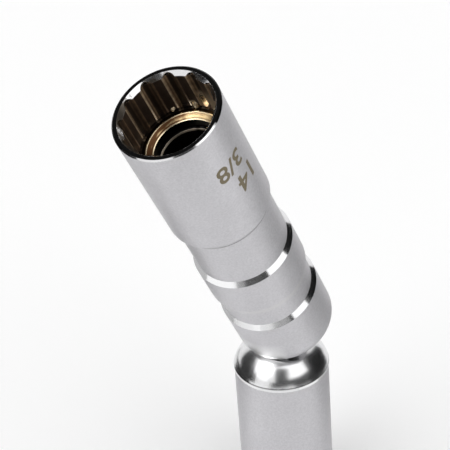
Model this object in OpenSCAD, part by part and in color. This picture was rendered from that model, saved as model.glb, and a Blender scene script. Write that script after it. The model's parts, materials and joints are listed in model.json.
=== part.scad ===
// Swivel spark plug socket: a thin-walled twelve-point head with a ring magnet, a ball joint
// with a cross pin, and a square drive end. All sizes are in millimetres.
// The drive end stands on the ground along +Z, and the head leans on its stop towards +X.

/* [Plug end] */
// Across flats of the plug's hexagon
hex_af = 14; // [13:0.5:16]
// Room for the hexagon at the corners of the lands
hex_clear = 0.07; // [0.03:0.01:0.15]
// Room past the hexagon's corners at the flute tips
flute_clear = 0.09; // [0.05:0.01:0.2]
// Radius of a flute
flute_round = 1.2; // [0.9:0.05:1.4]
// Depth of the flutes from the mouth
flute_depth = 8.7; // [7:0.1:11]
// Height of the relief groove under the flutes
relief_h = 0.6; // [0.4:0.1:1.2]
// Depth of the relief groove past the flute tips
relief_cut = 0.1; // [0.05:0.05:0.3]
// Wall outside the flute tips
mouth_wall = 1.03; // [0.9:0.01:2]
// Width of the sloped lead-in at the mouth
lead_in_w = 0.65; // [0.4:0.05:1]
// Slope of the lead-in, from the mouth's plane
lead_in_angle = 50; // [15:5:60]
// Bevel on the mouth's outer edge
mouth_bevel = 0.25; // [0.1:0.05:0.4]

/* [Magnet] */
// Thickness of the magnet ring
magnet_h = 2.5; // [1.5:0.1:4]
// How far the magnet stays inside the lands, so that it can be pushed in
magnet_inset = 0.15; // [0.1:0.05:0.4]
// Room for glue round the magnet
magnet_fit = 0.02; // [0.01:0.01:0.05]
// How far the magnet's hole stands back from the bore
magnet_step = 0.5; // [0.3:0.1:1]
// Width of the sloped inner edge of the magnet
magnet_bevel = 1.1; // [0.3:0.1:1.2]
// Height of the sloped inner edge of the magnet
magnet_bevel_h = 0.65; // [0.3:0.05:1]

/* [Head] */
// Diameter of the bore for the plug's insulator
bore_d = 10.4; // [9:0.1:11.5]
// Thickness of the web between the bore's drilled end and the ball's seat
web = 1.5; // [1:0.1:4]
// Length of the full barrel at the mouth
barrel_len = 25.6; // [18:0.1:40]
// Length of the taper at the barrel's lower end
taper_len = 1.4; // [0.8:0.1:3]
// Depth of both waists under the barrel
waist_cut = 0.78; // [0.4:0.01:1.2]
// Length of the upper waist
upper_waist_len = 11; // [6:0.1:20]
// Length of each polished shoulder cone
cone_len = 1; // [0.5:0.1:2]
// How much smaller the collar and the skirt are than the barrel
skirt_inset = 0.1; // [0.05:0.05:0.3]
// Length of the collar between the waists
collar_len = 8.1; // [5:0.1:14]
// Length of the taper at the collar's lower end
collar_taper_len = 0.55; // [0.4:0.05:2]
// Length of the lower waist
lower_waist_len = 5.45; // [3:0.05:10]
// Length of the skirt round the ball
skirt_len = 11.8; // [11:0.1:16]
// Radius of the skirt's rolled-in end
roll_round = 2.9; // [2.5:0.1:4]
// Height of the rolled-in end
roll_h = 1.8; // [1:0.1:2.2]
// Distance from the ball's centre to the skirt's end
skirt_reach = 5.5; // [5:0.1:6]

/* [Joint] */
// Swing of the head to each side, about each of the two joint axes
swing = 18.5; // [12:0.5:20]
// Diameter of the ball
ball_d = 13.4; // [12.6:0.1:13.8]
// Room between the ball and its seat
ball_fit = 0.06; // [0.04:0.01:0.1]
// Diameter of the neck under the ball
neck_d = 6.8; // [6:0.1:7.4]
// Fillet at the foot of the neck
neck_fillet = 0.6; // [0.3:0.1:0.8]
// Room between the neck and the skirt at full swing
neck_gap = 0.3; // [0.2:0.05:0.5]
// Diameter of the cross pin
pin_d = 3.4; // [3:0.1:3.8]
// How far each end of the cross pin stands out of the ball
pin_proud = 1; // [0.8:0.05:1.2]
// Bevel on the ends of the cross pin
pin_bevel = 0.3; // [0.2:0.05:0.5]
// Room round the cross pin in the ball
pin_fit = 0.04; // [0.02:0.01:0.08]
// Room round the cross pin in the head's slots
slot_fit = 0.06; // [0.04:0.01:0.12]
// Room past the ends of the cross pin
slot_end_gap = 0.12; // [0.1:0.02:0.2]

/* [Drive end] */
// Diameter of the drive end
drive_d = 17.7; // [16.5:0.1:19]
// Length of the straight shank
shank_len = 26; // [20:0.1:36]
// Height of the polished band at the shank's upper edge
band_h = 0.6; // [0.4:0.05:1]
// How far the band's upper edge stands out of the shank
band_proud = 0.1; // [0.05:0.05:0.2]
// Radius of the rounded shoulder
shoulder_round = 6.3; // [5.8:0.1:7]
// How far the shoulder's round would swell past the shank
shoulder_swell = 0.3; // [0.25:0.05:0.5]
// Room between the skirt and the shoulder at full swing
stop_gap = 0.15; // [0.1:0.05:0.4]
// Bevel on the lower edge of the shank
foot_bevel = 0.5; // [0.3:0.1:0.8]
// Across flats of the drive square, for a 3/8 inch drive
square_af = 9.6; // [9.5:0.05:10]
// Depth of the drive square
square_depth = 12.5; // [11:0.5:15]
// Diameter of the drilled hole that the square is broached in
pilot_d = 10; // [9.8:0.1:10.4]
// How far the drilled hole goes past the square
pilot_extra = 1.5; // [1:0.5:3]
// Depth of the sloped lead-in round the square
square_lead_in = 1.1; // [0.8:0.1:1.4]
// Height of the detent dimples above the foot
dimple_z = 6; // [5:0.5:7]
// Radius of the ball that the dimples are shaped to
dimple_round = 2.4; // [2:0.1:3]
// Depth of the dimples
dimple_depth = 0.8; // [0.5:0.1:1]

/* [Hidden] */
$fn = 96;
// Cutters run this far past the surface that they open
over = 1;
points = 12;
drill_point = 118;

// Plug end, radii from the hexagon outwards
flute_pitch = 360 / points;
land_r = hex_af / 2 / cos(flute_pitch * 3 / 4) + hex_clear;
tip_r = hex_af / 2 / cos(flute_pitch) + flute_clear;
relief_r = tip_r + relief_cut;
barrel_r = tip_r + mouth_wall;
lead_in_h = lead_in_w * tan(lead_in_angle);

// Magnet and its pocket
bore_r = bore_d / 2;
magnet_r = land_r - magnet_inset;
magnet_hole_r = bore_r + magnet_step;
pocket_r = magnet_r + magnet_fit;
magnet_top = flute_depth + relief_h;
pocket_floor = magnet_top + magnet_h;

// Depths from the mouth down the head
waist_r = barrel_r - waist_cut;
skirt_r = barrel_r - skirt_inset;
upper_waist_top = barrel_len + taper_len;
upper_waist_end = upper_waist_top + upper_waist_len;
collar_top = upper_waist_end + cone_len;
collar_end = collar_top + collar_len;
lower_waist_top = collar_end + collar_taper_len;
lower_waist_end = lower_waist_top + lower_waist_len;
skirt_top = lower_waist_end + cone_len;
head_len = skirt_top + skirt_len;
pivot_depth = head_len - skirt_reach;
roll_r = skirt_r - roll_round + sqrt(pow(roll_round, 2) - pow(roll_h, 2));

// Joint: the lean that both swings give together, and the cross pin's heading
lean = acos(cos(swing) * cos(swing));
pin_heading = atan(cos(swing));
ball_r = ball_d / 2;
seat_r = ball_r + ball_fit;
neck_r = neck_d / 2;
pin_r = pin_d / 2;
pin_half = ball_r + pin_proud;
slot_half_w = pin_r + slot_fit;
slot_r = sqrt(pow(pin_half, 2) + pow(pin_r, 2)) + slot_end_gap;
slot_top = pin_half * sin(swing) + pin_r * cos(swing) + slot_end_gap;
bore_tip = pivot_depth - seat_r - web;
bore_end = bore_tip - bore_r / tan(drill_point / 2);

// Drive end: the shoulder lies just clear of the leaning skirt's end
drive_r = drive_d / 2;
band_r = drive_r + band_proud;
shoulder_mid_r = drive_r + shoulder_swell - shoulder_round;
stop_r = roll_r * cos(lean) - skirt_reach * sin(lean);
stop_drop = roll_r * sin(lean) + skirt_reach * cos(lean);
shoulder_drop = stop_drop + sqrt(pow(shoulder_round + stop_gap, 2) - pow(stop_r - shoulder_mid_r, 2));
band_rise = sqrt(pow(shoulder_round, 2) - pow(band_r - shoulder_mid_r, 2));
band_top = shank_len + band_h;
shoulder_mid_z = band_top - band_rise;
shoulder_top = shoulder_mid_z + shoulder_round;
pivot_z = shoulder_mid_z + shoulder_drop;
square_half = square_af / 2;
pilot_r = pilot_d / 2;

// From the head's own frame, with the ball's centre at zero and the mouth up, to its leaning place
module lean_head() {
    translate([0, 0, pivot_z])
        rotate([0, 0, pin_heading])
            rotate([swing, 0, 0])
                rotate([0, swing, 0])
                    children();
}

// From the pin's own frame, with its length along X, to its place in the ball
module cross_ball() {
    translate([0, 0, pivot_z])
        rotate([0, 0, pin_heading])
            children();
}

// Half section of the head's outside: X is the radius, Y the height over the ball's centre
module head_outline() {
    difference() {
        polygon([for (p = [
            [0, 0],
            [barrel_r - mouth_bevel, 0],
            [barrel_r, mouth_bevel],
            [barrel_r, barrel_len],
            [waist_r, upper_waist_top],
            [waist_r, upper_waist_end],
            [skirt_r, collar_top],
            [skirt_r, collar_end],
            [waist_r, lower_waist_top],
            [waist_r, lower_waist_end],
            [skirt_r, skirt_top],
            [skirt_r, head_len],
            [0, head_len]
        ]) [p[0], pivot_depth - p[1]]]);
        // Rolled-in end
        difference() {
            translate([skirt_r - roll_round, -skirt_reach - over])
                square([roll_round + over, roll_h + over]);
            translate([skirt_r - roll_round, roll_h - skirt_reach])
                circle(r = roll_round);
        }
    }
}

// Half section of everything that is bored from the mouth, down to the drilled end of the bore
module bore_outline() {
    polygon([for (p = [
        [0, -over],
        [land_r + lead_in_w, -over],
        [land_r + lead_in_w, 0],
        [land_r, lead_in_h],
        [land_r, flute_depth],
        [relief_r, flute_depth],
        [relief_r, magnet_top],
        [pocket_r, magnet_top],
        [pocket_r, pocket_floor],
        [bore_r, pocket_floor],
        [bore_r, bore_end],
        [0, bore_tip]
    ]) [p[0], pivot_depth - p[1]]]);
}

// Half section of the ball's seat and of the flare that the neck swings in
module seat_outline() {
    flare_h = skirt_reach + over;
    flare_top_r = neck_r / cos(lean) + neck_gap;
    intersection() {
        circle(r = seat_r);
        translate([0, -seat_r])
            square([seat_r, 2 * seat_r]);
    }
    polygon([
        [0, 0],
        [flare_top_r, 0],
        [flare_top_r + flare_h * tan(lean), -flare_h],
        [0, -flare_h]
    ]);
}

module flutes() {
    for (i = [0 : points - 1])
        rotate([0, 0, (i + 0.5) * flute_pitch])
            translate([tip_r - flute_round, 0, pivot_depth - flute_depth])
                cylinder(r = flute_round, h = flute_depth + over);
}

// Two slots that hold the ends of the cross pin, open at the skirt's end
module pin_slots() {
    slot_h = slot_top + skirt_reach + over;
    intersection() {
        translate([-slot_r, -slot_half_w, slot_top - slot_h])
            cube([2 * slot_r, 2 * slot_half_w, slot_h]);
        translate([0, 0, slot_top - slot_h - over])
            cylinder(r = slot_r, h = slot_h + 2 * over);
    }
}

module socket_head() {
    color("silver")
        lean_head()
            difference() {
                rotate_extrude() head_outline();
                rotate_extrude() bore_outline();
                rotate_extrude() seat_outline();
                flutes();
                pin_slots();
            }
}

module magnet_ring() {
    color("goldenrod")
        lean_head()
            rotate_extrude()
                polygon([for (p = [
                    [magnet_hole_r + magnet_bevel, magnet_top],
                    [magnet_r, magnet_top],
                    [magnet_r, pocket_floor],
                    [magnet_hole_r, pocket_floor],
                    [magnet_hole_r, magnet_top + magnet_bevel_h]
                ]) [p[0], pivot_depth - p[1]]]);
}

module cross_pin() {
    color("dimgray")
        cross_ball()
            rotate([0, 90, 0])
                rotate_extrude()
                    polygon([
                        [0, -pin_half],
                        [pin_r - pin_bevel, -pin_half],
                        [pin_r, pin_bevel - pin_half],
                        [pin_r, pin_half - pin_bevel],
                        [pin_r - pin_bevel, pin_half],
                        [0, pin_half]
                    ]);
}

// Half section of the drive end: X is the radius, Y the height over the ground
module drive_outline() {
    // Shank with its polished band
    polygon([
        [0, 0],
        [drive_r - foot_bevel, 0],
        [drive_r, foot_bevel],
        [drive_r, shank_len],
        [band_r, band_top],
        [0, band_top]
    ]);
    // Rounded shoulder
    intersection() {
        union() {
            translate([shoulder_mid_r, shoulder_mid_z])
                circle(r = shoulder_round);
            translate([0, shoulder_mid_z])
                square([shoulder_mid_r, shoulder_round]);
        }
        translate([0, shank_len])
            square([band_r, pivot_z - shank_len]);
    }
    // Neck with the fillet at its foot
    translate([0, shoulder_mid_z])
        square([neck_r, pivot_z - shoulder_mid_z]);
    difference() {
        translate([0, shoulder_mid_z])
            square([neck_r + neck_fillet, shoulder_round + neck_fillet]);
        translate([neck_r + neck_fillet, shoulder_top + neck_fillet])
            circle(r = neck_fillet);
    }
    // Ball
    intersection() {
        translate([0, pivot_z])
            circle(r = ball_r);
        translate([0, pivot_z - ball_r])
            square([ball_r, 2 * ball_r]);
    }
}

module drive_square() {
    lead_r = square_half * sqrt(2) + square_lead_in / 2;
    translate([-square_half, -square_half, -over])
        cube([square_af, square_af, square_depth + over]);
    cylinder(r1 = lead_r, r2 = lead_r - square_lead_in, h = square_lead_in);
    translate([0, 0, -over])
        cylinder(r = pilot_r, h = square_depth + pilot_extra + over);
    translate([0, 0, square_depth + pilot_extra])
        cylinder(r1 = pilot_r, r2 = 0, h = pilot_r / tan(drill_point / 2));
    for (turn = [0 : 90 : 270])
        rotate([0, 0, turn])
            translate([square_half + dimple_depth - dimple_round, 0, dimple_z])
                sphere(r = dimple_round);
}

module drive_body() {
    color("silver")
        difference() {
            rotate_extrude() drive_outline();
            drive_square();
            cross_ball()
                rotate([0, 90, 0])
                    cylinder(r = pin_r + pin_fit, h = ball_d + 2 * over, center = true);
        }
}

drive_body();
cross_pin();
socket_head();
magnet_ring();
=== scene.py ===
# Swivel spark plug socket: finishes, size mark, broaching burrs and studio
import json
import math

import bmesh
import bpy
from mathutils import Euler, Matrix, Vector


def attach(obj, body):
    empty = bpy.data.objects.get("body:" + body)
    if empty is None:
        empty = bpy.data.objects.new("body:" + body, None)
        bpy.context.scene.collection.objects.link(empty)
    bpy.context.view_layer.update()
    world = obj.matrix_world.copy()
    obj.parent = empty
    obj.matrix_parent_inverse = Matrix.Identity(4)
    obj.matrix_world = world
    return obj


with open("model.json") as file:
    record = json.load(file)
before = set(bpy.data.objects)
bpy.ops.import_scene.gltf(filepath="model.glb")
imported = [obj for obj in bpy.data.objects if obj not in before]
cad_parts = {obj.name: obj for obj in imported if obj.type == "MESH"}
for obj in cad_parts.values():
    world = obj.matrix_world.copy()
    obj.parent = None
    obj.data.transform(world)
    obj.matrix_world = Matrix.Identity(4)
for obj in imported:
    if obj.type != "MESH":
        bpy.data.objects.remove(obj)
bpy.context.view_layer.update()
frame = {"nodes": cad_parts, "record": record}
nodes = frame["nodes"]
mounts = {mount["name"]: mount for mount in frame["record"]["mounts"]}
mm = 0.001

# the head's own frame: zero at the mouth's centre, +Z out of the mouth
mouth = Vector(mounts["plug_recess"]["pos_m"])
headAxis = Vector(mounts["plug_recess"]["axis"]).normalized()
headSide = Vector((0, 1, 0)).cross(headAxis).normalized()
headTurn = Matrix((headSide, headAxis.cross(headSide), headAxis)).transposed()
headPlace = Matrix.Translation(mouth) @ headTurn.to_4x4()
print("frame loaded:", len(nodes), "nodes")


def linear(hexColour):
    parts = [int(hexColour[i:i + 2], 16) / 255 for i in (1, 3, 5)]
    return tuple(p / 12.92 if p <= 0.04045 else ((p + 0.055) / 1.055) ** 2.4 for p in parts) + (1.0,)


def addNode(tree, kind, inputs=None, **settings):
    node = tree.nodes.new(kind)
    for name, value in settings.items():
        setattr(node, name, value)
    for socket, value in (inputs or {}).items():
        if isinstance(value, bpy.types.NodeSocket):
            tree.links.new(value, node.inputs[socket])
        else:
            node.inputs[socket].default_value = value
    return node


def addObject(name, data):
    thing = bpy.data.objects.new(name, data)
    bpy.context.scene.collection.objects.link(thing)
    return thing


def plainMesh(thing):
    # the evaluated shape of an object, which is then removed
    graph = bpy.context.evaluated_depsgraph_get()
    mesh = bpy.data.meshes.new_from_object(thing.evaluated_get(graph))
    bpy.data.objects.remove(thing)
    return mesh


def newFinish(name):
    material = bpy.data.materials.new(name)
    material.use_nodes = True
    tree = material.node_tree
    tree.nodes.clear()
    return material, tree


def localPlace(tree, frameOf):
    # position in the piece's own frame, in millimetres: the vector, its height and its radius
    where = addNode(tree, "ShaderNodeTexCoord").outputs["Object"]
    spot = addNode(tree, "ShaderNodeMapping", {
        "Vector": where,
        "Location": frameOf.to_translation(),
        "Rotation": frameOf.to_euler(),
        "Scale": (mm, mm, mm),
    }, vector_type="TEXTURE").outputs["Vector"]
    height = addNode(tree, "ShaderNodeSeparateXYZ", {"Vector": spot}).outputs["Z"]
    flat = addNode(tree, "ShaderNodeVectorMath", {0: spot, 1: (1, 1, 0)}, operation="MULTIPLY")
    radius = addNode(tree, "ShaderNodeVectorMath", {0: flat.outputs["Vector"]}, operation="LENGTH")
    return {"spot": spot, "height": height, "radius": radius.outputs["Value"]}


def zone(tree, place, heights=None, radii=None, soft=0.02):
    # 1 between two heights and two radii of a turned piece, falling to 0 over the soft edge
    mask = 1.0
    for value, span in ((place["height"], heights), (place["radius"], radii)):
        if span is None:
            continue
        for start, full in ((span[0] - soft, span[0] + soft), (span[1] + soft, span[1] - soft)):
            edge = addNode(tree, "ShaderNodeMapRange", {"Value": value, "From Min": start, "From Max": full})
            mask = addNode(tree, "ShaderNodeMath", {0: edge.outputs["Result"], 1: mask},
                           operation="MULTIPLY").outputs["Value"]
    return mask


def nearAngle(tree, turn, angle, half):
    # 1 round an angle about the axis, falling to 0 from half of the half width to one and a half times it
    away = addNode(tree, "ShaderNodeMath", {0: turn, 1: math.radians(angle)}, operation="SUBTRACT")
    away = addNode(tree, "ShaderNodeMath", {0: away.outputs["Value"]}, operation="COSINE")
    return addNode(tree, "ShaderNodeMapRange", {
        "Value": away.outputs["Value"],
        "From Min": math.cos(math.radians(half * 1.5)),
        "From Max": math.cos(math.radians(half * 0.5)),
    }, interpolation_type="SMOOTHSTEP").outputs["Result"]


def layCoat(tree, under, mask, colour, rough):
    # a coat with a colour and roughness of its own, where the mask is 1
    over = addNode(tree, "ShaderNodeMix", {"Factor": mask, 6: under["colour"], 7: colour}, data_type="RGBA")
    worn = addNode(tree, "ShaderNodeMix", {"Factor": mask, 2: under["rough"], 3: rough}, data_type="FLOAT")
    return {"colour": over.outputs[2], "rough": worn.outputs[0]}


def closeFinish(tree, coats, normal=None, metallic=1.0):
    inputs = {"Base Color": coats["colour"], "Roughness": coats["rough"], "Metallic": metallic}
    if normal is not None:
        inputs["Normal"] = normal
    shader = addNode(tree, "ShaderNodeBsdfPrincipled", inputs)
    addNode(tree, "ShaderNodeOutputMaterial", {"Surface": shader.outputs["BSDF"]})


chrome = {
    "satinDark": "#C0BFC2",
    "satinLight": "#CECDD0",
    "satinRough": 0.50,
    "satinSpread": 0.03,  # the light grain is rougher than the dark by twice this
    "polished": "#E2E2E3",
    "polishedRough": 0.14,
    "grainMm": 0.36,  # blasting grit of 0.1 mm, drawn coarser so that it shows
    "grainDepth": 0.007,
    "grainTone": 2.4,  # how much the grain lightens and darkens the satin
    "cloudMm": 6.0,
    "turningMm": 0.12,  # lathe feed left under the polish
    "turningDepth": 0.0006,
}


def chromeCoat(tree, place, polish):
    # satin and polished chrome plate: colour, roughness and bump, with polish as the mask
    cloud = addNode(tree, "ShaderNodeTexNoise", {
        "Vector": place["spot"], "Scale": 1 / chrome["cloudMm"], "Detail": 3.0}).outputs["Fac"]
    grain = addNode(tree, "ShaderNodeTexNoise", {
        "Vector": place["spot"], "Scale": 1 / chrome["grainMm"], "Detail": 2.0}).outputs["Fac"]
    tone = addNode(tree, "ShaderNodeMath", {0: grain, 1: 0.5}, operation="SUBTRACT").outputs["Value"]
    tone = addNode(tree, "ShaderNodeMath", {
        0: tone, 1: chrome["grainTone"], 2: cloud}, operation="MULTIPLY_ADD").outputs["Value"]
    spread = chrome["satinSpread"]
    dark = {"colour": linear(chrome["satinDark"]), "rough": chrome["satinRough"] - spread}
    satin = layCoat(tree, dark, tone, linear(chrome["satinLight"]), chrome["satinRough"] + spread)
    plate = layCoat(tree, satin, polish, linear(chrome["polished"]), chrome["polishedRough"])
    ring = addNode(tree, "ShaderNodeMath", {0: place["height"], 1: place["radius"]}, operation="SUBTRACT")
    turning = addNode(tree, "ShaderNodeTexNoise", {
        "W": ring.outputs["Value"], "Scale": 1 / chrome["turningMm"], "Detail": 1.0,
    }, noise_dimensions="1D").outputs["Fac"]
    deep = [
        addNode(tree, "ShaderNodeMath", {0: texture, 1: depth * mm}, operation="MULTIPLY").outputs["Value"]
        for texture, depth in ((grain, chrome["grainDepth"]), (turning, chrome["turningDepth"]))]
    relief = addNode(tree, "ShaderNodeMix", {"Factor": polish, 2: deep[0], 3: deep[1]}, data_type="FLOAT")
    bump = addNode(tree, "ShaderNodeBump", {"Height": relief.outputs[0], "Distance": 1.0, "Strength": 1.0})
    return plate, bump.outputs["Normal"]


head = {
    "wallRadius": 8.36,  # between the inside and the outside of the wall
    "overMouth": 1.0,  # this and the next three lie clear of the piece, so that no zone ends on it
    "pastWall": 12.0,
    "pastAxis": -1.0,
    "pastEnd": 70.0,
    "bevel": 0.25,
    "leadInDepth": 0.775,
    "insideEnd": 52.5,  # the bore ends here, and the seat of the ball is plated
    "cones": ((38.0, 39.0), (53.1, 54.1)),  # depths of the two polished shoulder cones
    "lines": (  # depths, soft edge and shade of painted lines
        ((26.82, 27.08), 0.05, "#6E6D6C"),  # painted shade: dark hairlines at the feet of the two tapers
        ((47.45, 47.68), 0.05, "#6E6D6C"),
        ((48.1, 49.1), 0.4, "#D0CFCF"),  # painted highlight: a lighter band under the lower taper
    ),
    "skirtGlow": (61.5, 67.0),  # painted highlight where the skirt rests on the shoulder: lighter on one side, and smoother
    "skirtGlowSoft": 2.0,
    "skirtGlowTurn": (6.0, 22.0),  # angle and half width
    "skirtGlowShade": "#F4F4F4",
    "skirtGlowRough": 0.34,
    "landTurn": 16.5,  # degrees from the leaning plane to the first land
    "pitch": 30.0,
    "scuff": "#6A635A",
    "scuffRough": 0.3,
    "scuffPerMm": 0.55,
    "scuffRange": (0.48, 0.60),
    "hexSides": 6.0,
    "hexWear": 0.10,  # a plug's hexagon rubs every second land
    "scuffAndShadeSide": (0.016, -0.008, 0),  # scuffs, and painted shade, grow towards this side, per millimetre
    "flutes": (  # shades from the middle of a land, over its flute, to the next land: brown oxide, with light stripes by the land edges that are painted highlights
        (0.0, "#43362E"), (0.165, "#3E322A"), (0.205, "#7A6450"), (0.26, "#6A5644"), (0.31, "#4A3C30"),
        (0.37, "#5E4C3C"), (0.415, "#332821"), (0.5, "#2A211A"), (0.585, "#3A2E26"), (0.63, "#A68E72"),
        (0.69, "#765F4B"), (0.74, "#C2A888"), (0.795, "#DCC6A8"), (0.835, "#4E4036"), (1.0, "#43362E"),
    ),
    "flutesEnd": 9.3,
    "oxideRough": 0.3,
    "oxideMetal": 0.45,
    "soot": "#2A2119",
    "sootRough": 0.4,
    "stainPerMm": 0.9,
    "stainRange": (0.35, 0.65),
    "stainClean": 0.55,  # how clean the most stained spot still is
    "rubbed": (  # streaks that mirror the magnet: angle, half width, depths of start and full, strength
        (184.7, 3.0, 4.5, 7.0, 1.0),
        (199.5, 3.6, 7.0, 8.2, 1.0),
        (167.0, 6.0, 3.0, 7.0, 0.4),
    ),
    "rubbedShade": "#FFEACB",
    "rubbedRough": 0.24,
    "below": "#0C0B0A",
    "boreEdge": ((5.1, 5.3), (11.5, 12.2)),  # radii and depths
    # painted highlight on the bore's edge
    "borePaintedHighlight": "#FFEFD8",
    "glintPerMm": 0.16,
    "glintRange": (0.42, 0.56),
    "glintLeast": 0.4,
    # painted dark reflection on the rim and its bevel
    "rim": "#0A0A0A",
    "rimRough": 0.35,
    "rimRadii": (8.297, 8.953),  # from the lead-in to the bevel
    "rimDepth": 0.01,
    "rimSoft": 0.005,
    "brightSide": (0.793, 0.609, 0),  # painted dark reflection: the rim's black reaches over its bevel, but not on this side, which stays lit
    "brightFrom": (5.4, 4.6),  # millimetres towards that side, where the black is gone and where it is full
}
headOutside = (head["wallRadius"], head["pastWall"])
headInside = (head["pastAxis"], head["wallRadius"])


def roundMouth(tree, place):
    # turn about the axis, turn from the first land, and share of the way to the next land
    parts = addNode(tree, "ShaderNodeSeparateXYZ", {"Vector": place["spot"]}).outputs
    turn = addNode(tree, "ShaderNodeMath", {
        0: parts["Y"], 1: parts["X"]}, operation="ARCTAN2").outputs["Value"]
    fromLand = addNode(tree, "ShaderNodeMath", {
        0: turn, 1: math.radians(head["landTurn"])}, operation="SUBTRACT").outputs["Value"]
    share = addNode(tree, "ShaderNodeMath", {
        0: fromLand, 1: math.radians(head["pitch"])}, operation="DIVIDE").outputs["Value"]
    share = addNode(tree, "ShaderNodeMath", {0: share}, operation="FRACT").outputs["Value"]
    return turn, fromLand, share


def plateHead(tree, place, turn, leadIn):
    # satin, polished lead-in, bevel and cones, painted shade lines and a painted highlight band at the
    # tapers, and a painted highlight on one side of the skirt's rolled edge
    polish = leadIn
    for start, end in head["cones"] + ((-head["overMouth"], head["bevel"]),):
        band = zone(tree, place, (-end, -start), headOutside)
        polish = addNode(tree, "ShaderNodeMath", {0: polish, 1: band}, operation="MAXIMUM").outputs["Value"]
    coats, bump = chromeCoat(tree, place, polish)
    # painted shade lines and a painted highlight band at the tapers
    for (start, end), soft, shade in head["lines"]:
        line = zone(tree, place, (-end, -start), headOutside, soft)
        coats = layCoat(tree, coats, line, linear(shade), chrome["satinRough"])
    # painted highlight: the skirt's rolled edge is lighter on one side
    start, end = head["skirtGlow"]
    skirtGlow = addNode(tree, "ShaderNodeMath", {
        0: zone(tree, place, (-end, -start), soft=head["skirtGlowSoft"]),
        1: nearAngle(tree, turn, *head["skirtGlowTurn"]),
    }, operation="MULTIPLY").outputs["Value"]
    coats = layCoat(tree, coats, skirtGlow, linear(head["skirtGlowShade"]), head["skirtGlowRough"])
    return coats, bump


def scuffLeadIn(tree, place, coats, fromLand, leadIn):
    # scuffed lead-in, most on every second land, with more dark scuff towards one side as painted shade
    scuff = addNode(tree, "ShaderNodeTexNoise", {
        "Vector": place["spot"], "Scale": head["scuffPerMm"], "Detail": 6.0, "Roughness": 0.7}).outputs["Fac"]
    hexagon = addNode(tree, "ShaderNodeMath", {
        0: fromLand, 1: head["hexSides"]}, operation="MULTIPLY").outputs["Value"]
    hexagon = addNode(tree, "ShaderNodeMath", {0: hexagon}, operation="COSINE").outputs["Value"]
    side = addNode(tree, "ShaderNodeVectorMath", {
        0: place["spot"], 1: head["scuffAndShadeSide"]}, operation="DOT_PRODUCT").outputs["Value"]
    scuff = addNode(tree, "ShaderNodeMath", {
        0: hexagon, 1: -head["hexWear"], 2: scuff}, operation="MULTIPLY_ADD").outputs["Value"]
    scuff = addNode(tree, "ShaderNodeMath", {0: scuff, 1: side}, operation="ADD").outputs["Value"]
    least, most = head["scuffRange"]
    scuff = addNode(tree, "ShaderNodeMapRange", {
        "Value": scuff, "From Min": least, "From Max": most}).outputs["Result"]
    scuff = addNode(tree, "ShaderNodeMath", {0: scuff, 1: leadIn}, operation="MULTIPLY").outputs["Value"]
    return layCoat(tree, coats, scuff, linear(head["scuff"]), head["scuffRough"])


def oxideInside(tree, place, turn, share):
    # dark lands and flutes with painted highlights as a lighter edge between them, black further down, and
    # how metallic they are
    ramp = addNode(tree, "ShaderNodeValToRGB", {"Fac": share})
    while len(ramp.color_ramp.elements) < len(head["flutes"]):
        ramp.color_ramp.elements.new(0.5)
    for element, (position, shade) in zip(ramp.color_ramp.elements, head["flutes"]):
        element.position = position
        element.color = linear(shade)
    stain = addNode(tree, "ShaderNodeTexNoise", {
        "Vector": place["spot"], "Scale": head["stainPerMm"], "Detail": 4.0}).outputs["Fac"]
    least, most = head["stainRange"]
    clean = addNode(tree, "ShaderNodeMapRange", {
        "Value": stain, "From Min": least, "From Max": most, "To Min": head["stainClean"]}).outputs["Result"]
    soot = {"colour": linear(head["soot"]), "rough": head["sootRough"]}
    oxide = layCoat(tree, soot, clean, ramp.outputs["Color"], head["oxideRough"])

    rubbed = 0.0
    for angle, half, top, full, strength in head["rubbed"]:
        down = addNode(tree, "ShaderNodeMapRange", {
            "Value": place["height"], "From Min": -top, "From Max": -full, "To Max": strength,
        }, interpolation_type="SMOOTHSTEP").outputs["Result"]
        streak = addNode(tree, "ShaderNodeMath", {
            0: down, 1: nearAngle(tree, turn, angle, half)}, operation="MULTIPLY").outputs["Value"]
        rubbed = addNode(tree, "ShaderNodeMath", {0: rubbed, 1: streak}, operation="MAXIMUM").outputs["Value"]
    oxide = layCoat(tree, oxide, rubbed, linear(head["rubbedShade"]), head["rubbedRough"])
    below = zone(tree, place, (-head["pastEnd"], -head["flutesEnd"]))
    oxide = layCoat(tree, oxide, below, linear(head["below"]), head["oxideRough"])

    # painted highlight: a near-white line round the bore's edge, brighter and dimmer along it; the metal is
    # taken away there, so it scatters the light
    across, (top, end) = head["boreEdge"]
    edge = zone(tree, place, (-end, -top), across)
    glint = addNode(tree, "ShaderNodeTexNoise", {
        "Vector": place["spot"], "Scale": head["glintPerMm"], "Detail": 1.0}).outputs["Fac"]
    least, most = head["glintRange"]
    glint = addNode(tree, "ShaderNodeMapRange", {
        "Value": glint, "From Min": least, "From Max": most, "To Min": head["glintLeast"]}).outputs["Result"]
    glint = addNode(tree, "ShaderNodeMath", {0: glint, 1: edge}, operation="MULTIPLY").outputs["Value"]
    oxide = layCoat(tree, oxide, glint, linear(head["borePaintedHighlight"]), head["oxideRough"])
    metal = head["oxideMetal"]
    for worn, change in ((edge, "SUBTRACT"), (rubbed, "MAXIMUM")):
        metal = addNode(tree, "ShaderNodeMath", {
            0: metal, 1: worn}, operation=change, use_clamp=True).outputs["Value"]
    return oxide, metal


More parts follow.
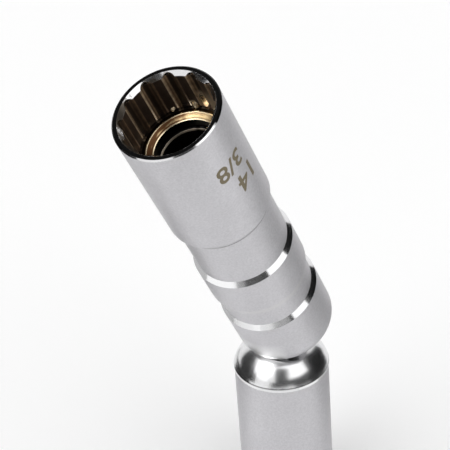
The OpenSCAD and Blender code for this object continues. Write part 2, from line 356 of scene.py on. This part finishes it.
def paintRimShade(tree, place, coats):
    # painted dark reflection: black on the flat rim, and on its bevel but for the bright side
    flat = zone(tree, place, (-head["rimDepth"], head["overMouth"]), head["rimRadii"], head["rimSoft"])
    side = addNode(tree, "ShaderNodeVectorMath", {
        0: place["spot"], 1: head["brightSide"]}, operation="DOT_PRODUCT").outputs["Value"]
    gone, full = head["brightFrom"]
    side = addNode(tree, "ShaderNodeMapRange", {
        "Value": side, "From Min": gone, "From Max": full}).outputs["Result"]
    bevel = addNode(tree, "ShaderNodeMath", {
        0: side, 1: zone(tree, place, (-head["bevel"], head["overMouth"]), headOutside),
    }, operation="MULTIPLY").outputs["Value"]
    for mask in (flat, bevel):
        coats = layCoat(tree, coats, mask, linear(head["rim"]), head["rimRough"])
    return coats


def headFinish():
    # chrome plate on vanadium steel: blasted satin outside, polished cones,
    # and brown oxide inside, where no plate reached
    material, tree = newFinish("headChromePlate")
    place = localPlace(tree, headPlace)
    turn, fromLand, share = roundMouth(tree, place)
    leadIn = zone(tree, place, (-head["leadInDepth"], head["overMouth"]), headInside)
    bare = zone(tree, place, (-head["insideEnd"], -head["leadInDepth"]), headInside)
    coats, bump = plateHead(tree, place, turn, leadIn)
    coats = scuffLeadIn(tree, place, coats, fromLand, leadIn)
    oxide, metal = oxideInside(tree, place, turn, share)
    coats = layCoat(tree, coats, bare, oxide["colour"], oxide["rough"])
    coats = paintRimShade(tree, place, coats)
    metal = addNode(tree, "ShaderNodeMix", {"Factor": bare, 2: 1.0, 3: metal}, data_type="FLOAT").outputs[0]
    closeFinish(tree, coats, bump, metal)
    return material


drive = {
    "polished": (26.0, 80.0),  # heights from the band to past the ball
    "shoulderRough": 0.22,  # the shoulder is polished less than the cones
    "paintedCrease": (26.58, 26.82),  # painted shade in the crease where the shoulder meets its band
    "seamSoft": 0.08,
    "seamStrength": 0.75,
    "paintedCreaseShade": "#2C2C2E",
    "square": ((0.02, 18.0), (-1.0, 7.4)),  # heights and radii of the broached square
    "squareShade": "#9A9B9E",
    "squareRough": 0.36,
}


def driveFinish():
    # chrome plate: satin shank, polished band, shoulder, neck and ball; the square is left as broached
    material, tree = newFinish("driveChromePlate")
    place = localPlace(tree, Matrix.Identity(4))
    polish = zone(tree, place, drive["polished"])
    coats, bump = chromeCoat(tree, place, polish)
    coats = layCoat(tree, coats, polish, linear(chrome["polished"]), drive["shoulderRough"])
    # painted shade: a dark line in the crease under the shoulder
    paintedCrease = addNode(tree, "ShaderNodeMath", {
        0: zone(tree, place, drive["paintedCrease"], soft=drive["seamSoft"]),
        1: drive["seamStrength"],
    }, operation="MULTIPLY").outputs["Value"]
    coats = layCoat(tree, coats, paintedCrease, linear(drive["paintedCreaseShade"]), drive["shoulderRough"])
    square = zone(tree, place, *drive["square"])
    coats = layCoat(tree, coats, square, linear(drive["squareShade"]), drive["squareRough"])
    closeFinish(tree, coats, bump)
    return material


magnet = {
    "gold": "#D4B98C",
    "goldRough": 0.2,
    "tarnish": "#5A3E28",
    "tarnishRough": 0.34,
    "turningMm": 0.40,  # rings of 0.1 mm, drawn coarser so that they show
    "stainMm": 2.0,
    "paintedLitSide": (-0.026, 0.022, 0),  # painted light: brighter towards this side, per millimetre
    "brightRange": (0.23, 0.47),
    # painted shadow: the ring's flat top is dark
    "flatRadii": (6.95, 9.0),
    "flat": "#2A2014",
    "flatRough": 0.3,
    "edges": ((5.6, 5.84), (6.74, 6.92)),  # radii of the two edges with a painted highlight
    "edgeSoft": 0.05,
    "edge": "#F4E2BE",
    "holeDepths": (9.97, 20.0),  # from the foot of the sloped inner edge to past the ring
    "hole": "#0E0C0A",
}


def magnetFinish():
    # turned and plated magnet with a gold cast: painted highlights on its edges, a painted shadow on its flat
    # top, tarnished rings on its slope that turn gold towards one side as painted light, and black oxide in
    # its hole
    material, tree = newFinish("goldenNickelPlate")
    place = localPlace(tree, headPlace)
    rings = addNode(tree, "ShaderNodeTexNoise", {
        "W": place["radius"], "Scale": 1 / magnet["turningMm"], "Detail": 2.0,
    }, noise_dimensions="1D").outputs["Fac"]
    stain = addNode(tree, "ShaderNodeTexNoise", {
        "Vector": place["spot"], "Scale": 1 / magnet["stainMm"], "Detail": 3.0}).outputs["Fac"]
    side = addNode(tree, "ShaderNodeVectorMath", {
        0: place["spot"], 1: magnet["paintedLitSide"]}, operation="DOT_PRODUCT").outputs["Value"]
    bright = addNode(tree, "ShaderNodeMath", {0: rings, 1: stain}, operation="MULTIPLY").outputs["Value"]
    bright = addNode(tree, "ShaderNodeMath", {0: bright, 1: side}, operation="ADD").outputs["Value"]
    least, most = magnet["brightRange"]
    bright = addNode(tree, "ShaderNodeMapRange", {
        "Value": bright, "From Min": least, "From Max": most}).outputs["Result"]
    tarnish = {"colour": linear(magnet["tarnish"]), "rough": magnet["tarnishRough"]}
    coats = layCoat(tree, tarnish, bright, linear(magnet["gold"]), magnet["goldRough"])
    # painted shadow on the flat top of the ring
    flat = zone(tree, place, radii=magnet["flatRadii"])
    coats = layCoat(tree, coats, flat, linear(magnet["flat"]), magnet["flatRough"])
    # painted highlights on the two edges
    for span in magnet["edges"]:
        edge = zone(tree, place, radii=span, soft=magnet["edgeSoft"])
        coats = layCoat(tree, coats, edge, linear(magnet["edge"]), magnet["goldRough"])
    start, end = magnet["holeDepths"]
    hole = zone(tree, place, (-end, -start))
    coats = layCoat(tree, coats, hole, linear(magnet["hole"]), magnet["tarnishRough"])
    closeFinish(tree, coats)
    return material


pin = {
    "dark": "#8A8A8C",
    "darkRough": 0.22,
    "light": "#A9A9AB",
    "lightRough": 0.34,
    "grainMm": 0.25,
}


def pinFinish():
    # ground steel pin, with a fine grinding grain
    material, tree = newFinish("groundSteel")
    where = addNode(tree, "ShaderNodeTexCoord").outputs["Object"]
    grain = addNode(tree, "ShaderNodeTexNoise", {
        "Vector": where, "Scale": 1 / (pin["grainMm"] * mm), "Detail": 2.0}).outputs["Fac"]
    dark = {"colour": linear(pin["dark"]), "rough": pin["darkRough"]}
    coats = layCoat(tree, dark, grain, linear(pin["light"]), pin["lightRough"])
    closeFinish(tree, coats)
    return material


for node, finish in (("socket_head", headFinish), ("drive_body", driveFinish),
                     ("magnet_ring", magnetFinish), ("cross_pin", pinFinish)):
    slots = nodes[node].data.materials
    slots.clear()
    slots.append(finish())
print("finishes made")


# etched size mark on the barrel
mark = {
    "lines": (("14", 17.6, 13.3, 3.7), ("3/8", 16.6, 8.2, 3.4)),  # digits, arc and depth of the start, height
    "weld": 0.001,
    "bold": 0.09,  # etched lines are wider than the font's
    "cornerLimit": 0.5,  # so that sharp corners don't grow into spikes
    "finest": 0.25,  # longest edge, so that the digits follow the round
    "cutRounds": 5,
    "barrelRadius": 9.2033,
    "proud": 0.012,
    "sunk": 0.05,
    "dark": "#5F553F",
    "darkRough": 0.5,
    "light": "#8A7F66",
    "lightRough": 0.6,
    "grainMm": 0.2,
    "metallic": 0.35,
}


def markFinish():
    # laser etching: a rough olive-brown oxide in the plate
    material, tree = newFinish("etchedOxide")
    place = localPlace(tree, headPlace)
    grain = addNode(tree, "ShaderNodeTexNoise", {
        "Vector": place["spot"], "Scale": 1 / mark["grainMm"], "Detail": 2.0}).outputs["Fac"]
    dark = {"colour": linear(mark["dark"]), "rough": mark["darkRough"]}
    coats = layCoat(tree, dark, grain, linear(mark["light"]), mark["lightRough"])
    closeFinish(tree, coats, metallic=mark["metallic"])
    return material


def embolden(work):
    # moves the outline of flat digits outwards
    outward = {}
    for e in work.edges:
        if len(e.link_faces) == 1:
            along = (e.verts[1].co - e.verts[0].co).normalized()
            away = Vector((along.y, -along.x, 0))
            if away.dot(e.link_faces[0].calc_center_median() - e.verts[0].co) > 0:
                away = -away
            for v in e.verts:
                outward.setdefault(v, []).append(away)
    for v, sides in outward.items():
        middle = sum(sides, Vector()).normalized()
        v.co += middle * (mark["bold"] / max(middle.dot(sides[0]), mark["cornerLimit"]))


def etchDigits(name, digits, arc, depth, high):
    curve = bpy.data.curves.new(name, "FONT")
    curve.body = digits
    mesh = plainMesh(addObject(name, curve))
    work = bmesh.new()
    work.from_mesh(mesh)
    low = min(v.co.y for v in work.verts)
    left = min(v.co.x for v in work.verts)
    scale = high / (max(v.co.y for v in work.verts) - low)
    for v in work.verts:
        v.co = Vector(((v.co.x - left) * scale, (v.co.y - low) * scale, 0))
    bmesh.ops.remove_doubles(work, verts=work.verts, dist=mark["weld"])
    embolden(work)
    bmesh.ops.triangulate(work, faces=work.faces)
    for _ in range(mark["cutRounds"]):
        long = [e for e in work.edges if e.calc_length() > mark["finest"]]
        if not long:
            break
        bmesh.ops.subdivide_edges(work, edges=long, cuts=1)
        bmesh.ops.triangulate(work, faces=work.faces)

    # thickened, then wrapped round the barrel
    wall = bmesh.ops.extrude_face_region(work, geom=work.faces[:])
    raised = {v for v in wall["geom"] if isinstance(v, bmesh.types.BMVert)}
    for v in work.verts:
        reach = mark["barrelRadius"] + (mark["proud"] if v in raised else -mark["sunk"])
        turn = (arc - v.co.x) / mark["barrelRadius"]
        v.co = Vector((reach * math.cos(turn), reach * math.sin(turn), -depth - v.co.y)) * mm
    bmesh.ops.recalc_face_normals(work, faces=work.faces)
    work.transform(headPlace)
    work.to_mesh(mesh)
    work.free()
    return addObject(name, mesh)


markMaterial = markFinish()
for number, (digits, arc, depth, high) in enumerate(mark["lines"]):
    piece = etchDigits("size_mark_%d" % number, digits, arc, depth, high)
    piece.data.materials.clear()
    piece.data.materials.append(markMaterial)
    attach(piece, "head")
print("size mark etched")


# burrs that the broach pushed over the lower ends of the lands
burrs = {
    "count": 4,
    "radius": 7.66,
    "turn": 137.0,  # degrees from the leaning plane to the first
    "sweep": 90.0,  # degrees from the first to the last
    "depth": 8.5,
    "size": 0.36,
    "fineness": 3,
    "scales": ((0.6, 0.6, 1.2), (1.0, 1.3, 2.8)),
    "scaleSeed": 4,
    "turns": ((-0.5, -0.5, 0), (0.5, 0.5, 6.28)),
    "turnSeed": 9,
    "ragged": 0.40,
    "raggedPerMm": 2.2,
    "straw": "#DCBE86",
    "strawRough": 0.35,
    "bright": "#FFF4DE",
    "brightRough": 0.2,
    "tintMm": 0.4,
    "metallic": 0.3,
}


def burrFinish():
    # bare steel chips with a straw-coloured temper
    material, tree = newFinish("strawSteel")
    place = localPlace(tree, headPlace)
    tint = addNode(tree, "ShaderNodeTexNoise", {
        "Vector": place["spot"], "Scale": 1 / burrs["tintMm"], "Detail": 2.0}).outputs["Fac"]
    straw = {"colour": linear(burrs["straw"]), "rough": burrs["strawRough"]}
    coats = layCoat(tree, straw, tint, linear(burrs["bright"]), burrs["brightRough"])
    closeFinish(tree, coats, metallic=burrs["metallic"])
    return material


def burrTree(material):
    tree = bpy.data.node_groups.new("burrs", "GeometryNodeTree")
    for name, kind, value in (("Count", "NodeSocketInt", burrs["count"]),
                              ("Radius", "NodeSocketFloat", burrs["radius"] * mm),
                              ("Size", "NodeSocketFloat", burrs["size"] * mm),
                              ("Sweep", "NodeSocketFloat", math.radians(burrs["sweep"]))):
        tree.interface.new_socket(name, in_out="INPUT", socket_type=kind).default_value = value
    tree.interface.new_socket("Geometry", in_out="OUTPUT", socket_type="NodeSocketGeometry")
    given = addNode(tree, "NodeGroupInput").outputs
    ring = addNode(tree, "GeometryNodeCurveArc", {
        "Resolution": given["Count"], "Radius": given["Radius"], "Sweep Angle": given["Sweep"]})
    lump = addNode(tree, "GeometryNodeMeshIcoSphere", {
        "Radius": given["Size"], "Subdivisions": burrs["fineness"]})
    draws = ((burrs["scales"], burrs["scaleSeed"]), (burrs["turns"], burrs["turnSeed"]))
    scale, turn = [
        addNode(tree, "FunctionNodeRandomValue", {0: least, 1: most, "Seed": seed},
                data_type="FLOAT_VECTOR").outputs[0]
        for (least, most), seed in draws]
    placed = addNode(tree, "GeometryNodeInstanceOnPoints", {
        "Points": ring.outputs["Curve"], "Instance": lump.outputs["Mesh"], "Scale": scale, "Rotation": turn})
    real = addNode(tree, "GeometryNodeRealizeInstances", {"Geometry": placed.outputs["Instances"]})
    ragged = addNode(tree, "ShaderNodeTexNoise", {
        "Scale": burrs["raggedPerMm"] / mm, "Detail": 2.0}).outputs["Color"]
    ragged = addNode(tree, "ShaderNodeVectorMath", {
        0: ragged, 1: (0.5, 0.5, 0.5)}, operation="SUBTRACT").outputs["Vector"]
    ragged = addNode(tree, "ShaderNodeVectorMath", {
        0: ragged, "Scale": burrs["ragged"] * 2 * mm}, operation="SCALE").outputs["Vector"]
    moved = addNode(tree, "GeometryNodeSetPosition", {"Geometry": real.outputs["Geometry"], "Offset": ragged})
    shaded = addNode(tree, "GeometryNodeSetMaterial", {
        "Geometry": moved.outputs["Geometry"], "Material": material})
    addNode(tree, "NodeGroupOutput", {"Geometry": shaded.outputs["Geometry"]})
    return tree


def makeBurrs():
    holder = addObject("burrHolder", bpy.data.meshes.new("burrHolder"))
    material = burrFinish()
    holder.modifiers.new("burrs", "NODES").node_group = burrTree(material)
    mesh = plainMesh(holder)
    mesh.transform(headPlace @ Matrix.Translation((0, 0, -burrs["depth"] * mm))
                   @ Matrix.Rotation(math.radians(burrs["turn"]), 4, "Z"))
    piece = addObject("land_burrs", mesh)
    mesh.materials.clear()
    mesh.materials.append(material)
    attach(piece, "head")


makeBurrs()
print("burrs made")


camera = {
    "placeMm": (205.39, 150.98, 229.87),
    "azimuth": 38.24,
    "elevation": 34.0,
    "roll": 4.52,
    "lensMm": 138.52,
    "sensorMm": 36.0,
    "clip": (0.01, 10.0),
}


def makeCamera():
    data = bpy.data.cameras.new("camera")
    data.sensor_width = camera["sensorMm"]
    data.lens = camera["lensMm"]
    data.clip_start, data.clip_end = camera["clip"]
    view = addObject("camera", data)
    turn = Euler((math.radians(90 - camera["elevation"]), 0, math.radians(90 + camera["azimuth"])))
    roll = Matrix.Rotation(math.radians(-camera["roll"]), 4, "Z")
    view.matrix_world = Matrix.Translation(Vector(camera["placeMm"]) * mm) @ turn.to_matrix().to_4x4() @ roll
    bpy.context.scene.camera = view


studio = {  # in metres and degrees
    "centre": Vector((0.005, 0, 0.045)),
    "floorSize": 4.0,
    "floor": "#F2F2F2",
    "white": "#FFFFFF",
    "lift": 0.15,  # glow of the floor, where it is seen
    "daylight": 0.32,
    "lamps": (  # name, azimuth, elevation, width, strength
        ("lampLeft", -35, 46, 60, 1.30),
        ("lampRight", 92, 52, 60, 1.30),
    ),
    "lampDistance": 0.5,
    "softboxes": (  # name, azimuth, elevation, distance, width, height, brightness
        ("softboxLeft", -35, 46, 0.5, 0.72, 0.62, 1.5),
        ("softboxRight", 76, 52, 0.5, 0.46, 0.58, 1.5),
        ("bulbLeft", -22, 51, 0.44, 0.14, 0.16, 11.0),  # the bright middle of the left softbox
    ),
    "cardSteps": 6,  # faces from one side of a card to the next
    "cards": (  # name, brightness, distance, (azimuth, low, high) from side to side
        ("flagLeft", 0.01, 0.220, (
            (-100, 0.17, 0.30), (-88, 0.05, 0.30), (-72, 0.0, 0.28),
            (-58, 0.0, 0.24), (-44, 0.0, 0.165), (-28, 0.0, 0.085))),
        ("flagRight", 0.01, 0.450, (
            (104, 0.0, 0.13), (108, 0.0, 0.30), (113, 0.0, 0.46), (122, 0.0, 0.56), (132, 0.0, 0.62),
            (145, 0.0, 0.58), (154, 0.0, 0.45), (161, 0.0, 0.30), (168, 0.0, 0.22), (173, 0.0, 0.16))),
        ("lowLeft", 0.02, 0.052, (
            (-92, 0.0, 0.012), (-74, 0.0, 0.0165), (-48, 0.0, 0.0205), (-36, 0.0, 0.0205))),
        ("lowLeftNear", 0.02, 0.032, (
            (-86, 0.0215, 0.0245), (-74, 0.0205, 0.026), (-44, 0.0205, 0.0262), (-34, 0.022, 0.0262))),
        ("lowRight", 0.02, 0.130, (
            (98, 0.0, 0.052), (120, 0.0, 0.03), (164, 0.0, 0.03))),
        ("lowRightNear", 0.02, 0.080, (
            (94, 0.0, 0.0125), (120, 0.0, 0.0125), (150, 0.0, 0.0125), (162, 0.0, 0.008))),
        ("greySoft", 0.42, 0.172, (
            (8, 0.006, 0.035), (24, 0.010, 0.030), (33, 0.010, 0.036), (40, 0.012, 0.040),
            (50, 0.026, 0.048), (58, 0.022, 0.050), (62, 0.022, 0.050))),
        ("greyFront", 0.06, 0.170, (
            (10, 0.03, 0.068), (26, 0.022, 0.074), (40, 0.036, 0.070), (50, 0.046, 0.095),
            (58, 0.046, 0.102), (62, 0.03, 0.102), (64, 0.0, 0.102), (108, 0.0, 0.100))),
        ("stripFront", 0.05, 0.250, (
            (12, 0.38, 0.6), (20, 0.12, 0.6), (21, 0.06, 0.6),
            (49, 0.06, 0.6), (50, 0.12, 0.6), (55, 0.38, 0.6))),
        ("whiteRight", 1.45, 0.045, (
            (54, 0.060, 0.09), (57, 0.054, 0.09), (60, 0.047, 0.09), (64, 0.0443, 0.09),
            (84, 0.0445, 0.09), (92, 0.051, 0.09), (97, 0.060, 0.09))),
    ),
    "strip": (0.05, 0.6, 34, 0.26, -0.10, 0.11),  # brightness, height, azimuth, from, to, half width
    "bounceHeight": 0.001,
    "bounce": (  # name, brightness, azimuths, near and far edge, just over the floor
        ("bounceLeft", 1.25, (-50, 4), (0.115, 0.24)),
        ("bounceBack", 0.60, (-112, -50), (0.085, 0.19)),
        ("bounceNear", 1.15, (-54, -16), (0.020, 0.048)),
        ("bounceRight", 1.15, (72, 116), (0.020, 0.048)),
        ("shadeRight", 0.55, (122, 172), (0.026, 0.048)),
    ),
}


def towards(azimuth, elevation, distance, centre):
    a, e = math.radians(azimuth), math.radians(elevation)
    return centre + Vector((math.cos(a) * math.cos(e), math.sin(a) * math.cos(e), math.sin(e))) * distance


def polar(azimuth, reach, z):
    a = math.radians(azimuth)
    return (math.cos(a) * reach, math.sin(a) * reach, z)


def seenRays(tree):
    # 1 for what the camera sees, directly or in metal and glass
    ray = addNode(tree, "ShaderNodeLightPath").outputs
    seen = addNode(tree, "ShaderNodeMath", {
        0: ray["Is Camera Ray"], 1: ray["Is Glossy Ray"]}, operation="MAXIMUM").outputs["Value"]
    return addNode(tree, "ShaderNodeMath", {
        0: seen, 1: ray["Is Transmission Ray"]}, operation="MAXIMUM").outputs["Value"]


def makeFloor():
    half = studio["floorSize"] / 2
    mesh = bpy.data.meshes.new("floor")
    corners = [(-half, -half, 0), (half, -half, 0), (half, half, 0), (-half, half, 0)]
    mesh.from_pydata(corners, [], [(0, 1, 2, 3)])
    floor = addObject("floor", mesh)
    material, tree = newFinish("paleFloor")
    diffuse = addNode(tree, "ShaderNodeBsdfDiffuse", {"Color": linear(studio["floor"])}).outputs["BSDF"]
    lift = addNode(tree, "ShaderNodeMath", {
        0: seenRays(tree), 1: studio["lift"]}, operation="MULTIPLY").outputs["Value"]
    glow = addNode(tree, "ShaderNodeEmission", {
        "Color": linear(studio["white"]), "Strength": lift}).outputs["Emission"]
    lifted = addNode(tree, "ShaderNodeAddShader", {0: diffuse, 1: glow}).outputs["Shader"]
    addNode(tree, "ShaderNodeOutputMaterial", {"Surface": lifted})
    mesh.materials.append(material)


def addCard(name, bright, points, faces=None):
    # a card that only reflections see: the picture's plain background stays as it is
    if faces is None:  # a strip, whose points come in pairs
        faces = [(i, i + 2, i + 3, i + 1) for i in range(0, len(points) - 2, 2)]
    mesh = bpy.data.meshes.new(name)
    mesh.from_pydata(points, [], faces)
    material, tree = newFinish(name)
    glow = addNode(tree, "ShaderNodeEmission", {
        "Color": linear(studio["white"]), "Strength": bright}).outputs["Emission"]
    addNode(tree, "ShaderNodeOutputMaterial", {"Surface": glow})
    mesh.materials.append(material)
    card = addObject(name, mesh)
    card.visible_camera = False
    card.visible_diffuse = False
    card.visible_shadow = False


def makeCards():
    shares = [i / studio["cardSteps"] for i in range(studio["cardSteps"] + 1)]
    for name, bright, distance, sides in studio["cards"]:
        points = []
        for (a0, low0, high0), (a1, low1, high1) in zip(sides, sides[1:]):
            for t in shares:
                for z in (low0 + (low1 - low0) * t, high0 + (high1 - high0) * t):
                    points.append(polar(a0 + (a1 - a0) * t, distance, z))
        addCard(name, bright, points)
    for name, bright, (a0, a1), edges in studio["bounce"]:
        points = [polar(a0 + (a1 - a0) * t, reach, studio["bounceHeight"]) for t in shares for reach in edges]
        addCard(name, bright, points)
    bright, z, azimuth, start, end, half = studio["strip"]
    points = [Vector(polar(azimuth, reach, z)) + Vector(polar(azimuth + 90, side, 0))
              for reach in (start, end) for side in (-half, half)]
    addCard("stripTop", bright, points, [(0, 1, 3, 2)])
    for name, azimuth, elevation, distance, width, height, bright in studio["softboxes"]:
        middle = towards(azimuth, elevation, distance, studio["centre"])
        turn = (middle - studio["centre"]).to_track_quat("Z", "Y")
        corners = [middle + turn @ Vector((x * width / 2, y * height / 2, 0))
                   for x, y in ((-1, -1), (1, -1), (1, 1), (-1, 1))]
        addCard(name, bright, corners, [(0, 1, 2, 3)])


def makeLights():
    for name, azimuth, elevation, width, strength in studio["lamps"]:
        data = bpy.data.lights.new(name, "SUN")
        data.angle = math.radians(width)
        data.energy = strength
        lamp = addObject(name, data)
        lamp.location = towards(azimuth, elevation, studio["lampDistance"], studio["centre"])
        lamp.rotation_euler = (lamp.location - studio["centre"]).to_track_quat("Z", "Y").to_euler()
        lamp.visible_glossy = False  # the metal shows the softbox cards in their place
    world = bpy.data.worlds.new("world")
    bpy.context.scene.world = world
    world.use_nodes = True
    tree = world.node_tree
    tree.nodes.clear()
    strength = addNode(tree, "ShaderNodeMapRange", {
        "Value": seenRays(tree), "To Min": studio["daylight"], "To Max": 1.0}).outputs["Result"]
    sky = addNode(tree, "ShaderNodeBackground", {
        "Color": linear(studio["white"]), "Strength": strength}).outputs["Background"]
    addNode(tree, "ShaderNodeOutputWorld", {"Surface": sky})


makeCamera()
makeFloor()
makeCards()
makeLights()
bpy.context.scene.view_settings.view_transform = "Standard"
print("studio set")
